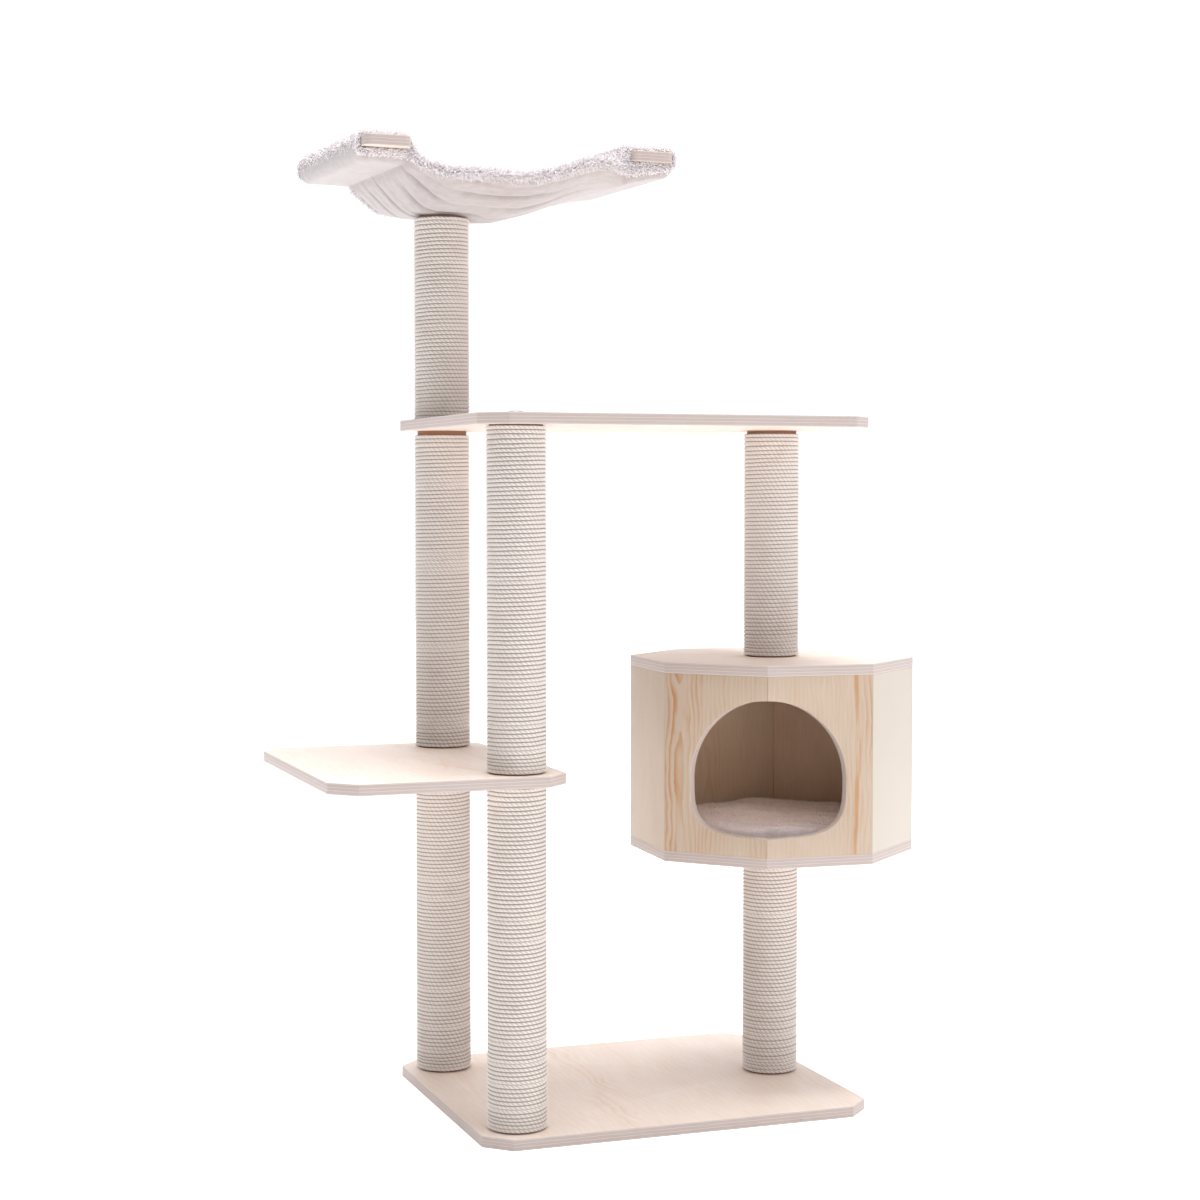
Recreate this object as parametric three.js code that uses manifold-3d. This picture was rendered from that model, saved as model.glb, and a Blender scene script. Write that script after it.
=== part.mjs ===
// A free-standing cat tree: a plywood base, three sisal-wrapped posts, a side perch, a top board,
// an eight-sided cabin with a round doorway and a plush hammock that swivels on the tallest post.
// Millimetres, +Z up. The origin is the centre of the base board's underside, +Y runs to the back.
import * as THREE from 'three';
import { mergeVertices } from 'three/addons/utils/BufferGeometryUtils.js';
import Module from 'manifold-3d';

const wasm = await Module();
wasm.setup();

// ---- Driving dimensions ----
const plyThickness = 17; // every board, wall and slat
const boardCorner = 38; // 45 degree corner cut of the base, perch and top board
const baseWidth = 628;
const baseDepth = 526;
const perchWidth = 364;
const perchDepth = 516;
const perchOverPost = 70; // from the left posts' axes to the perch's right edge
const topWidth = 636;
const topDepth = 504;
const topOverPost = 66; // from the left posts' axes to the top board's left edge

const leftPostX = -250;
const leftPostY = 197; // post a stands at +Y, post b at -Y
const rightPostX = 252; // post c stands on the centre line
const storeyLength = 517; // the post pieces from base to perch and from perch to top board
const mastLength = 330; // the post piece from the top board to the hammock
const tubeRadius = 40;
const tubeWall = 4;
const ropeDiameter = 5.5;
const ropeShort = 1.5; // bare tube at each end of a rope winding
const plugLength = 30;
const roundSteps = 32;
const boreSteps = 16;

const cabinAcrossFlats = 427;
const cabinTurn = -3; // degrees about its post, as it is clamped
const cabinWallHeight = 282;
const doorHalfWidth = 132.5; // along a front panel from the corner that the doorway straddles
const doorTop = 244.5; // above the cabin floor's upper face
const doorWidest = 117.5;
const doorSill = 30;
const doorSquareness = 3.6; // exponent of the squarer lower half
const doorSteps = 72;
const matThickness = 38;
const matMargin = 6; // between the mat and the walls
const matHeadMargin = 2; // around the bolt head in the mat's underside

const boltRadius = 5;
const boltGrip = 26; // how far a bolt reaches into a plug
const headRadius = 12.5;
const headHeight = 3.2;
const headEdgeShare = 0.4; // the head's straight edge, as a share of its height
const headCrownShare = 0.7; // its flat top, as a share of its radius
const boltSteps = 24;
const socketRadius = 3;
const socketDepth = 2;
const counterboreDepth = 6;
const counterboreRadius = 14;
const fitGap = 0.3; // running clearance wherever two pieces touch on a round, cut or turned face

const slatWidth = 76;
const slatLength = 347;
const slatCorner = 12;
const slatSpan = 447; // centre to centre
const slatRise = 85.5; // from the mast's top to the slats' underside
const hammockOffset = 77; // from the mast's axis to the hammock's middle
const hammockTurn = 3.6; // degrees about the mast's axis, as it stands at rest
const strapWidth = 40;
const strapThickness = 3;
const strapSeat = 35; // half length of the strap's flat seat on the mast
const strapEnd = 14; // half length of the flat under each slat
const screwRadius = 2.25;
const screwHeadRadius = 5;
const screwHeadHeight = 2.5;
const screwBite = 12;
const screwSteps = 12;
// where the strap bends, as shares of the way from the mast's axis to the nearer slat's inner edge
const strapBends = [-0.75, -0.57, 0.51, 0.72, 0.89, 1.01];
const strapLift = 8; // above the sling's underside at each bend
const shoulderRun = 19.5; // the strap's bend beside the left slat
const shoulderDrop = 4.2;
const underLayer = 3; // the fabric between the strap and the mast
const slingThickness = 24;
const slingOverhang = 3; // beyond each slat end
const slingBelowSlat = 20.5; // the fabric that hangs under a slat
// the sling's underside along its middle: shares of the way from the mast's axis to the nearer slat's
// inner edge and of the climb from the mast's top to the underside below a slat
const slingLine = [
  [-1.85, 1], [-1.46, 1], [-1, 0.985], [-0.75, 0.523], [-0.6, 0.277], [-0.42, 0], [0.38, 0], [0.57, 0.2],
  [0.76, 0.477], [0.95, 0.708], [1.06, 0.838], [1.18, 0.931], [1.32, 1],
];
const slingStepsAcross = 32;
const slingStepsAlong = 8;
const slingRimRise = 28; // how much the front and back edges stand above the middle
const sleeveCover = 8; // fabric around a slat
const sleeveRun = 50; // the sling's upper face climbs to the slat over this length
const leftSetBack = 28; // the left slat's bare front end

// ---- Finishes ----
const finish = (color, roughness, metalness = 0) =>
  new THREE.MeshStandardMaterial({ color, roughness, metalness });
const birch = finish(0xe9dcc6, 0.55);
const pine = finish(0xe8d2ac, 0.5);
const sisal = finish(0xe6dcc8, 0.95);
const paperTube = finish(0xa8765a, 0.9);
const plugWood = finish(0xcbb28c, 0.8);
const zincSteel = finish(0xb9bcc0, 0.35, 1);
const plush = finish(0xe4dcd4, 1);
const matPlush = finish(0xcfc8ca, 1);

// ---- Heights that follow ----
const perchBottom = plyThickness + storeyLength;
const perchTop = perchBottom + plyThickness;
const topBottom = perchTop + storeyLength;
const topTop = topBottom + plyThickness;
const mastTop = topTop + mastLength;
const cabinHeight = cabinWallHeight + 2 * plyThickness;
const cabinPostLength = (topBottom - plyThickness - cabinHeight) / 2;
const cabinBottom = plyThickness + cabinPostLength;
const cabinFloorTop = cabinBottom + plyThickness;
const cabinRoofBottom = cabinFloorTop + cabinWallHeight;
const cabinTop = cabinRoofBottom + plyThickness;
const cabinSides = 8;
const boreRadius = boltRadius + fitGap;
const postA = [leftPostX, leftPostY];
const postB = [leftPostX, -leftPostY];
const postC = [rightPostX, 0];

// ---- Helpers ----
const model = new THREE.Group();

function addMesh(name, geometry, material, x, y, z, group = model) {
  const mesh = new THREE.Mesh(geometry, material);
  mesh.name = name;
  mesh.position.set(x, y, z);
  group.add(mesh);
  return mesh;
}

// A round solid about Z from a profile of [radius, height] points
function turned(profile, steps) {
  const points = profile.map(([radius, height]) => new THREE.Vector2(radius, height));
  return new THREE.LatheGeometry(points, steps).rotateX(Math.PI / 2);
}

function rod(radius, low, high, steps = boreSteps) {
  return turned([[0, low], [radius, low], [radius, high], [0, high]], steps);
}

function ring(innerRadius, outerRadius, length, steps) {
  const corners = [[outerRadius, 0], [outerRadius, length], [innerRadius, length], [innerRadius, 0]];
  return turned([...corners, corners[0]], steps);
}

function toSolid(geometry) {
  const bare = geometry.clone();
  bare.deleteAttribute('normal');
  bare.deleteAttribute('uv');
  const merged = mergeVertices(bare, 1e-4);
  const vertProperties = merged.attributes.position.array;
  const triVerts = Uint32Array.from(merged.index.array);
  return new wasm.Manifold(new wasm.Mesh({ numProp: 3, vertProperties, triVerts }));
}

function toGeometry(solid) {
  const mesh = solid.getMesh();
  const geometry = new THREE.BufferGeometry();
  geometry.setAttribute('position', new THREE.BufferAttribute(Float32Array.from(mesh.vertProperties), 3));
  geometry.setIndex(new THREE.BufferAttribute(Uint32Array.from(mesh.triVerts), 1));
  geometry.computeVertexNormals();
  return geometry;
}

function cut(geometry, cutters) {
  let solid = toSolid(geometry);
  for (const cutter of cutters) solid = solid.subtract(toSolid(cutter));
  return toGeometry(solid);
}

// ---- Boards ----
function cornerCutShape(width, depth, corner) {
  const x = width / 2;
  const y = depth / 2;
  const outline = [[x - corner, -y], [x, corner - y], [x, y - corner], [x - corner, y]];
  const mirrored = outline.map(([px, py]) => [-px, -py]);
  return new THREE.Shape([...outline, ...mirrored].map(([px, py]) => new THREE.Vector2(px, py)));
}

function addHoles(shape, centres, radius) {
  for (const [x, y] of centres) {
    const hole = new THREE.Path();
    hole.absarc(x, y, radius, 0, 2 * Math.PI, true);
    shape.holes.push(hole);
  }
  return shape;
}

function plate(shape, thickness) {
  return new THREE.ExtrudeGeometry(shape, { depth: thickness, bevelEnabled: false, curveSegments: 8 });
}

function addBoard(name, width, depth, centreX, bottom, posts) {
  const holes = posts.map(([x, y]) => [x - centreX, y]);
  const shape = addHoles(cornerCutShape(width, depth, boardCorner), holes, boreRadius);
  return addMesh(name, plate(shape, plyThickness), birch, centreX, 0, bottom);
}

const baseBoard = addBoard('base_board', baseWidth, baseDepth, 0, 0, [postA, postB, postC]);
baseBoard.geometry = cut(baseBoard.geometry, [postA, postB, postC].map(([x, y]) =>
  rod(counterboreRadius, -1, counterboreDepth).translate(x, y, 0)));
const perchX = leftPostX + perchOverPost - perchWidth / 2;
addBoard('perch_board', perchWidth, perchDepth, perchX, perchBottom, [postA, postB]);
const topX = leftPostX - topOverPost + topWidth / 2;
addBoard('top_board', topWidth, topDepth, topX, topBottom, [postA, postB, postC]);

// ---- Posts: a paper tube with a plug in each end and a rope winding ----
const tubeBore = tubeRadius - tubeWall;
const tubeShape = (length) => ring(tubeBore, tubeRadius, length, roundSteps);
const ropeShape = (length) =>
  ring(tubeRadius + fitGap, tubeRadius + ropeDiameter, length - 2 * ropeShort, roundSteps);
const plugShape = ring(boreRadius, tubeBore - 2 * fitGap, plugLength, boreSteps);

function addPost(name, [x, y], bottom, length) {
  addMesh(`tube_${name}`, tubeShape(length), paperTube, x, y, bottom);
  addMesh(`rope_${name}`, ropeShape(length), sisal, x, y, bottom + ropeShort);
  addMesh(`plug_${name}_foot`, plugShape, plugWood, x, y, bottom);
  addMesh(`plug_${name}_head`, plugShape, plugWood, x, y, bottom + length - plugLength);
}

addPost('a_lower', postA, plyThickness, storeyLength);
addPost('a_middle', postA, perchTop, storeyLength);
addPost('a_upper', postA, topTop, mastLength);
addPost('b_lower', postB, plyThickness, storeyLength);
addPost('b_upper', postB, perchTop, storeyLength);
addPost('c_lower', postC, plyThickness, cabinPostLength);
addPost('c_upper', postC, cabinTop, cabinPostLength);

// ---- Bolts and studs on the posts' axes ----
// A low round head with a hex socket stands on z = 0 and its shank points down
function boltShape(shankLength) {
  const socketFloor = headHeight - socketDepth;
  const profile = [
    [0, -shankLength], [boltRadius, -shankLength], [boltRadius, 0], [headRadius, 0],
    [headRadius, headEdgeShare * headHeight], [headCrownShare * headRadius, headHeight],
    [socketRadius, headHeight],
    [socketRadius, socketFloor], [0, socketFloor],
  ];
  return turned(profile, boltSteps);
}

// The seat is the face under the head, and the grip is how deep the shank goes beyond it
function addBolt(name, [x, y], seat, grip, pointsUp = false) {
  const headBase = pointsUp ? seat - fitGap : seat + fitGap;
  const bolt = addMesh(name, boltShape(grip + fitGap), zincSteel, x, y, headBase);
  if (pointsUp) bolt.rotation.x = Math.PI;
}

function addStud(name, [x, y], boardBottom) {
  const stud = rod(boltRadius, -boltGrip, plyThickness + boltGrip);
  addMesh(name, stud, zincSteel, x, y, boardBottom);
}

for (const [name, post] of [['a', postA], ['b', postB], ['c', postC]]) {
  addBolt(`bolt_base_${name}`, post, counterboreDepth, plyThickness - counterboreDepth + boltGrip, true);
}
addStud('stud_perch_a', postA, perchBottom);
addStud('stud_perch_b', postB, perchBottom);
addStud('stud_top_a', postA, topBottom);
addBolt('bolt_top_b', postB, topTop, plyThickness + boltGrip);
addBolt('bolt_top_c', postC, topTop, plyThickness + boltGrip);
addBolt('bolt_cabin_floor', postC, cabinFloorTop, plyThickness + boltGrip);
addBolt('bolt_cabin_roof', postC, cabinRoofBottom, plyThickness + boltGrip, true);
addBolt('bolt_hammock', postA, mastTop + underLayer + 2 * fitGap + strapThickness, boltGrip + underLayer);

// ---- Cabin ----
const cabin = new THREE.Group();
cabin.position.set(rightPostX, 0, cabinBottom);
cabin.rotation.z = THREE.MathUtils.degToRad(cabinTurn);
model.add(cabin);

// Eight corners of an octagon whose flats lie this far from its centre
function octagon(apothem) {
  const radius = apothem / Math.cos(Math.PI / cabinSides);
  return Array.from({ length: cabinSides }, (_, side) => {
    const angle = (2 * side - 1) * Math.PI / cabinSides;
    return new THREE.Vector2(radius * Math.cos(angle), radius * Math.sin(angle));
  });
}

const cabinApothem = cabinAcrossFlats / 2;
const octagonPlate = () => plate(addHoles(new THREE.Shape(octagon(cabinApothem)), [[0, 0]], boreRadius),
  plyThickness);
addMesh('cabin_floor', octagonPlate(), birch, 0, 0, 0, cabin);
addMesh('cabin_roof', octagonPlate(), birch, 0, 0, cabinHeight - plyThickness, cabin);

// A wall is mitred at both ends and stands with its outer face on an octagon side.
// Its own frame has the outer face on x = 0, the inside at -x and the ends at +y and -y.
const mitre = Math.tan(Math.PI / cabinSides);
const wallHalf = cabinApothem * mitre - fitGap / 2;

function wallShape() {
  const inner = wallHalf - plyThickness * mitre;
  const corners = [[0, -wallHalf], [0, wallHalf], [-plyThickness, inner], [-plyThickness, -inner]];
  return plate(new THREE.Shape(corners.map(([x, y]) => new THREE.Vector2(x, y))), cabinWallHeight);
}

// The doorway's outline straddles a cabin corner: half an ellipse above its widest level
// and a squarer curve below it
function doorCutter(cornerY) {
  const outline = Array.from({ length: doorSteps }, (_, step) => {
    const angle = 2 * Math.PI * step / doorSteps;
    const above = Math.sin(angle) > 0;
    const power = above ? 1 : 2 / doorSquareness;
    const across = Math.sign(Math.cos(angle)) * Math.abs(Math.cos(angle)) ** power * doorHalfWidth;
    const rise = above ? doorTop - doorWidest : doorWidest - doorSill;
    return new THREE.Vector2(across, Math.sign(Math.sin(angle)) * Math.abs(Math.sin(angle)) ** power * rise);
  });
  const cutter = plate(new THREE.Shape(outline), 4 * plyThickness);
  return cutter.rotateX(Math.PI / 2).rotateZ(Math.PI / 2).translate(-3 * plyThickness, cornerY, doorWidest);
}

const wallNames = ['right', 'back_right', 'back', 'back_left', 'left', 'front_left', 'front', 'front_right'];
wallNames.forEach((side, turn) => {
  const doorCorner = { front_left: cabinApothem * mitre, front: -cabinApothem * mitre }[side];
  const shape = doorCorner === undefined ? wallShape() : cut(wallShape(), [doorCutter(doorCorner)]);
  const angle = 2 * Math.PI * turn / cabinSides;
  const place = [cabinApothem * Math.cos(angle), cabinApothem * Math.sin(angle), plyThickness];
  addMesh(`cabin_wall_${side}`, shape, pine, ...place, cabin).rotation.z = angle;
});

const matOutline = new THREE.Shape(octagon(cabinApothem - plyThickness - matMargin));
const matPocket = rod(headRadius + matHeadMargin, -1, headHeight + 2 * fitGap);
addMesh('cabin_mat', cut(plate(matOutline, matThickness), [matPocket]), matPlush, 0, 0, plyThickness, cabin);

// ---- Hammock: a bent steel strap bolted to the mast, two slats and a plush sling ----
// Its group stands on the mast's top, with x measured from the mast's axis
const hammock = new THREE.Group();
hammock.position.set(leftPostX, leftPostY, mastTop);
hammock.rotation.z = THREE.MathUtils.degToRad(hammockTurn);
model.add(hammock);
const slatXs = [hammockOffset - slatSpan / 2, hammockOffset + slatSpan / 2];
const strapLow = underLayer + 2 * fitGap;
const strapUnderSlat = slatRise - fitGap - strapThickness;

const innerEdges = [slatXs[0] + slatWidth / 2, slatXs[1] - slatWidth / 2];
const alongSpan = (share) => (share < 0 ? -share * innerEdges[0] : share * innerEdges[1]);
const slingClimb = slatRise - slingBelowSlat;
const stations = slingLine.map(([share, climb]) => [alongSpan(share), climb * slingClimb]);
const seatStation = stations.findIndex(([, height]) => height === 0);

function slingUnder(x) {
  const next = Math.max(1, stations.findIndex(([station]) => station >= x));
  const [fromX, fromZ] = stations[next - 1];
  const [toX, toZ] = stations[next];
  return fitGap + fromZ + (toZ - fromZ) * (x - fromX) / (toX - fromX);
}

// How far x is from the flat seat towards the nearer slat's inner edge, 0 to 1
function slingReach(x) {
  const [seatLeft, seatRight] = [stations[seatStation][0], stations[seatStation + 1][0]];
  const toLeft = (seatLeft - x) / (seatLeft - innerEdges[0]);
  const toRight = (x - seatRight) / (innerEdges[1] - seatRight);
  return Math.min(1, Math.max(0, toLeft, toRight));
}

// The strap's path and the sling's cut share this outline, grown by a gap
function strapOutline(gap) {
  const bends = strapBends.map(alongSpan).map((x) => [x, slingUnder(x) + strapLift]);
  const shoulder = [slatXs[0] + strapEnd + shoulderRun, strapUnderSlat - shoulderDrop];
  const path = [
    [slatXs[0] - strapEnd, strapUnderSlat], [slatXs[0] + strapEnd, strapUnderSlat], shoulder,
    ...bends.filter(([x]) => x < 0), [-strapSeat, strapLow], [strapSeat, strapLow],
    ...bends.filter(([x]) => x > 0),
    [slatXs[1] - strapEnd, strapUnderSlat], [slatXs[1] + strapEnd, strapUnderSlat],
  ];
  path[0][0] -= gap;
  path[path.length - 1][0] += gap;
  const under = path.map(([x, z]) => new THREE.Vector2(x, z - gap));
  const over = path.map(([x, z]) => new THREE.Vector2(x, z + strapThickness + gap)).reverse();
  return new THREE.Shape([...under, ...over]);
}

// Stands an outline drawn in x and z upright, centred on y = 0
function upright(shape, depth) {
  return plate(shape, depth).rotateX(Math.PI / 2).translate(0, depth / 2, 0);
}

const strapHoles = slatXs.map((x) => rod(screwRadius + fitGap, 0, mastLength).translate(x, 0, 0));
strapHoles.push(rod(boreRadius, 0, slatRise));
const strap = cut(upright(strapOutline(0), strapWidth), strapHoles);
addMesh('hammock_strap', strap, zincSteel, 0, 0, 0, hammock);

function roundedRect(width, depth, radius) {
  const x = width / 2;
  const y = depth / 2;
  const shape = new THREE.Shape();
  [[1, -1, -0.5], [1, 1, 0], [-1, 1, 0.5], [-1, -1, 1]].forEach(([sx, sy, turn]) => {
    shape.absarc(sx * (x - radius), sy * (y - radius), radius, turn * Math.PI, (turn + 0.5) * Math.PI);
  });
  return shape;
}

function screwShape() {
  const profile = [
    [0, 0], [screwHeadRadius, 0], [screwHeadRadius, screwHeadHeight],
    [screwRadius, screwHeadHeight], [screwRadius, screwHeadHeight + strapThickness + screwBite],
    [0, screwHeadHeight + strapThickness + screwBite],
  ];
  return turned(profile, screwSteps);
}

const screwBottom = strapUnderSlat - fitGap - screwHeadHeight;
['left', 'right'].forEach((side, index) => {
  const bore = rod(screwRadius + fitGap, -1, screwBite + 1);
  const slat = cut(plate(roundedRect(slatWidth, slatLength, slatCorner), plyThickness), [bore]);
  addMesh(`hammock_slat_${side}`, slat, birch, slatXs[index], 0, slatRise, hammock);
  addMesh(`screw_slat_${side}`, screwShape(), zincSteel, slatXs[index], 0, screwBottom, hammock);
});

// The sling is one sewn piece: a grid over x and y with an upper and a lower face
const slingHalfDepth = slatLength / 2 + slingOverhang;
const slingEnds = [slatXs[0] - slatWidth / 2 - sleeveCover, slatXs[1] + slatWidth / 2 + sleeveCover];

function smooth(share) {
  const s = Math.min(1, Math.max(0, share));
  return s * s * (3 - 2 * s);
}

function slingFaces(x, y) {
  const rim = slingRimRise * (y / slingHalfDepth) ** 2 * (1 - slingReach(x) ** 3);
  const under = slingUnder(x) + rim;
  const besideSlat = Math.min(...slatXs.map((slatX) => Math.abs(x - slatX))) - slatWidth / 2;
  const sleeve = 1 - smooth(besideSlat / sleeveRun);
  const over = under + slingThickness;
  const sleeveTop = slatRise + plyThickness + sleeveCover;
  return [under, over + (sleeveTop - over) * sleeve];
}

function slingShape() {
  const across = slingStepsAcross;
  const along = slingStepsAlong;
  const positions = [];
  for (const face of [0, 1]) {
    for (let i = 0; i <= across; i += 1) {
      const x = slingEnds[0] + (slingEnds[1] - slingEnds[0]) * i / across;
      const setBack = leftSetBack * (1 - smooth((x - slatXs[0] - slatWidth / 2) / slatWidth));
      const front = -slingHalfDepth + setBack;
      for (let j = 0; j <= along; j += 1) {
        const y = front + (slingHalfDepth - front) * j / along;
        positions.push(x, y, slingFaces(x, y)[face]);
      }
    }
  }
  const at = (face, i, j) => (face * (across + 1) + i) * (along + 1) + j;
  const index = [];
  const quad = (a, b, c, d) => index.push(a, b, c, a, c, d);
  for (let i = 0; i < across; i += 1) {
    for (let j = 0; j < along; j += 1) {
      quad(at(1, i, j), at(1, i + 1, j), at(1, i + 1, j + 1), at(1, i, j + 1));
      quad(at(0, i, j), at(0, i, j + 1), at(0, i + 1, j + 1), at(0, i + 1, j));
    }
    quad(at(0, i, 0), at(0, i + 1, 0), at(1, i + 1, 0), at(1, i, 0));
    quad(at(0, i, along), at(1, i, along), at(1, i + 1, along), at(0, i + 1, along));
  }
  for (let j = 0; j < along; j += 1) {
    quad(at(0, 0, j), at(1, 0, j), at(1, 0, j + 1), at(0, 0, j + 1));
    quad(at(0, across, j), at(0, across, j + 1), at(1, across, j + 1), at(1, across, j));
  }
  const geometry = new THREE.BufferGeometry();
  geometry.setAttribute('position', new THREE.Float32BufferAttribute(positions, 3));
  geometry.setIndex(index);
  return geometry;
}

const slatPocket = (x) => {
  const shape = roundedRect(slatWidth + 2 * fitGap, slatLength + plyThickness, fitGap);
  return plate(shape, plyThickness + 2 * fitGap).translate(x, 0, slatRise - fitGap);
};
const screwPocket = (x) => rod(screwHeadRadius + fitGap, screwBottom - fitGap, slatRise).translate(x, 0, 0);
const headPocketTop = strapLow + strapThickness + headHeight + 3 * fitGap;
const slingCuts = [
  upright(strapOutline(fitGap), strapWidth + 2 * fitGap),
  rod(boreRadius, -1, slatRise / 4),
  rod(headRadius + fitGap, strapLow, headPocketTop),
  ...slatXs.map(slatPocket),
  ...slatXs.map(screwPocket),
];
addMesh('hammock_sling', cut(slingShape(), slingCuts), plush, 0, 0, 0, hammock);

export default model;
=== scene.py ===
import math
import types

import bmesh
import bpy
import numpy as np
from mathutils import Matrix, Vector


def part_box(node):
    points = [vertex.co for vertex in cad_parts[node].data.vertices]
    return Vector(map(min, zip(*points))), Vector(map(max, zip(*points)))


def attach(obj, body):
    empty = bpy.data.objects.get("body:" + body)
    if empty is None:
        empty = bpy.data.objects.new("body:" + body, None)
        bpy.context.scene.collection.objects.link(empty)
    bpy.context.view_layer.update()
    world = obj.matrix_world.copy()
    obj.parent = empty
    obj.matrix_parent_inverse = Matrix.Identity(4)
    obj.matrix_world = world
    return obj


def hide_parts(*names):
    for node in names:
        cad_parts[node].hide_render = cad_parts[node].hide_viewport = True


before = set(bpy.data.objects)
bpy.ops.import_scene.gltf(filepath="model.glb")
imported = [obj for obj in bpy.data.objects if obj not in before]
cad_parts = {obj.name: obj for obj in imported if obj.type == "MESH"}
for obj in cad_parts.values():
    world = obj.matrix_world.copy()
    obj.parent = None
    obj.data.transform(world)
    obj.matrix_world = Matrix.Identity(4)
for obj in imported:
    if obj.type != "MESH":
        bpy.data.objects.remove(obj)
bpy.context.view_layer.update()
scene = bpy.context.scene

# the studio: a camera a little above the middle, at the tree's left front corner
studio = {
    "cameraPlace": (-1.3122, -3.4762, 0.9672),
    "cameraTurn": 20.01,  # degrees to the right of straight back
    "cameraTilt": -2.64,
    "lens": 69.71,
    "sensor": 36.0,
    "floorRadius": 14.0,
    "floorTint": (247, 247, 247),
    "floorGlow": 0.3,
    "seenGlow": 0.35,  # only the camera sees this part, so the floor fades into the background
    "skyStrength": 1.13,
    "skyTint": (0.96, 0.985, 1.03),
    "dimSide": (-0.66, -0.75, 0.0),  # the sky is dimmer in this direction
    "dimStrength": 0.36,
}
softLights = [
    {"name": "topLight", "place": (0.2, 0.2, 7.0), "aim": (0, 0, 0.5), "size": 4.0, "power": 470},
    {"name": "rightLight", "place": (0.9, -3.8, 1.25), "aim": (0.1, 0, 0.7), "size": 1.1, "power": 9},
    {"name": "cabinLight", "place": (0.29, -0.1, 0.645), "aim": (-0.08, -0.02, 0.5), "size": 0.05,
     "power": 0.27, "tint": (1.0, 0.9, 0.8)},  # inside the cabin, under its roof
    {"name": "sideLight", "place": (-4.0, 2.2, 1.6), "aim": (0, 0, 0.8), "size": 2.2, "power": 6},
]


def addToScene(name, data):
    thing = bpy.data.objects.new(name, data)
    scene.collection.objects.link(thing)
    return thing


def makeCamera(facts):
    data = bpy.data.cameras.new("viewCamera")
    data.lens = facts["lens"]
    data.sensor_width = facts["sensor"]
    data.clip_end = 100
    camera = addToScene("viewCamera", data)
    camera.location = facts["cameraPlace"]
    tilt = math.radians(90 + facts["cameraTilt"])
    camera.rotation_euler = (tilt, 0, -math.radians(facts["cameraTurn"]))
    scene.camera = camera


def makeLights(lights):
    for facts in lights:
        data = bpy.data.lights.new(facts["name"], "AREA")
        data.shape = "DISK"
        data.size = facts["size"]
        data.energy = facts["power"]
        data.color = facts.get("tint", (1.0, 1.0, 1.0))
        light = addToScene(facts["name"], data)
        light.location = facts["place"]
        direction = Vector(facts["aim"]) - light.location
        light.rotation_euler = direction.to_track_quat("-Z", "Y").to_euler()


makeCamera(studio)
makeLights(softLights)
scene.view_settings.view_transform = "Standard"
print("camera and lights made")


# screen colour, 0 to 255, to the linear colour that shaders use
def linear(red, green, blue):
    shares = (red / 255, green / 255, blue / 255)
    return tuple(c / 12.92 if c <= 0.04045 else ((c + 0.055) / 1.055) ** 2.4 for c in shares)


# adds nodes to a shader or geometry tree: a socket given as a value is linked, anything else is set
class TreeBuilder:
    def __init__(self, tree):
        self.tree = tree

    def add(self, kind, inputs=None, **settings):
        node = self.tree.nodes.new(kind)
        for key, value in settings.items():
            setattr(node, key, value)
        for key, value in (inputs or {}).items():
            socket = node.inputs[key]
            if isinstance(value, bpy.types.NodeSocket):
                self.tree.links.new(value, socket)
            else:
                socket.default_value = value
        return node

    def calc(self, operation, a, b=0.0, c=0.0):
        return self.add("ShaderNodeMath", {0: a, 1: b, 2: c}, operation=operation).outputs[0]

    def times(self, a, b):
        return self.calc("MULTIPLY", a, b)

    def clamped(self, value, low, high):
        # a smooth step from 0 at low to 1 at high
        inputs = {"Value": value, "From Min": low, "From Max": high}
        return self.add("ShaderNodeMapRange", inputs, interpolation_type="SMOOTHSTEP").outputs["Result"]

    def split(self, vector):
        return self.add("ShaderNodeSeparateXYZ", {"Vector": vector}).outputs

    def join(self, x, y, z):
        return self.add("ShaderNodeCombineXYZ", {"X": x, "Y": y, "Z": z}).outputs["Vector"]

    def noise(self, vector, scale, detail=2.0, roughness=0.5):
        inputs = {"Vector": vector, "Scale": scale, "Detail": detail, "Roughness": roughness}
        return self.add("ShaderNodeTexNoise", inputs).outputs[0]

    def stretched(self, vector, factors):
        inputs = {0: vector, 1: factors}
        return self.add("ShaderNodeVectorMath", inputs, operation="MULTIPLY").outputs[0]

    def mix(self, share, a, b):
        sockets = {0: share}
        sockets[6] = a if isinstance(a, bpy.types.NodeSocket) else (*a, 1)
        sockets[7] = b if isinstance(b, bpy.types.NodeSocket) else (*b, 1)
        return self.add("ShaderNodeMix", sockets, data_type="RGBA").outputs[2]

    def attribute(self, name, output="Fac"):
        return self.add("ShaderNodeAttribute", attribute_name=name).outputs[output]

    def bump(self, height, strength, distance):
        inputs = {"Height": height, "Strength": strength, "Distance": distance}
        return self.add("ShaderNodeBump", inputs).outputs["Normal"]


def newMaterial(name, roughness, metallic=0.0):
    material = bpy.data.materials.new(name)
    material.use_nodes = True
    shader = material.node_tree.nodes["Principled BSDF"]
    shader.inputs["Roughness"].default_value = roughness
    shader.inputs["Metallic"].default_value = metallic
    return material, shader, TreeBuilder(material.node_tree)


def connect(builder, shader, colour, normal=None):
    builder.tree.links.new(colour, shader.inputs["Base Color"])
    if normal is not None:
        builder.tree.links.new(normal, shader.inputs["Normal"])


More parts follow.
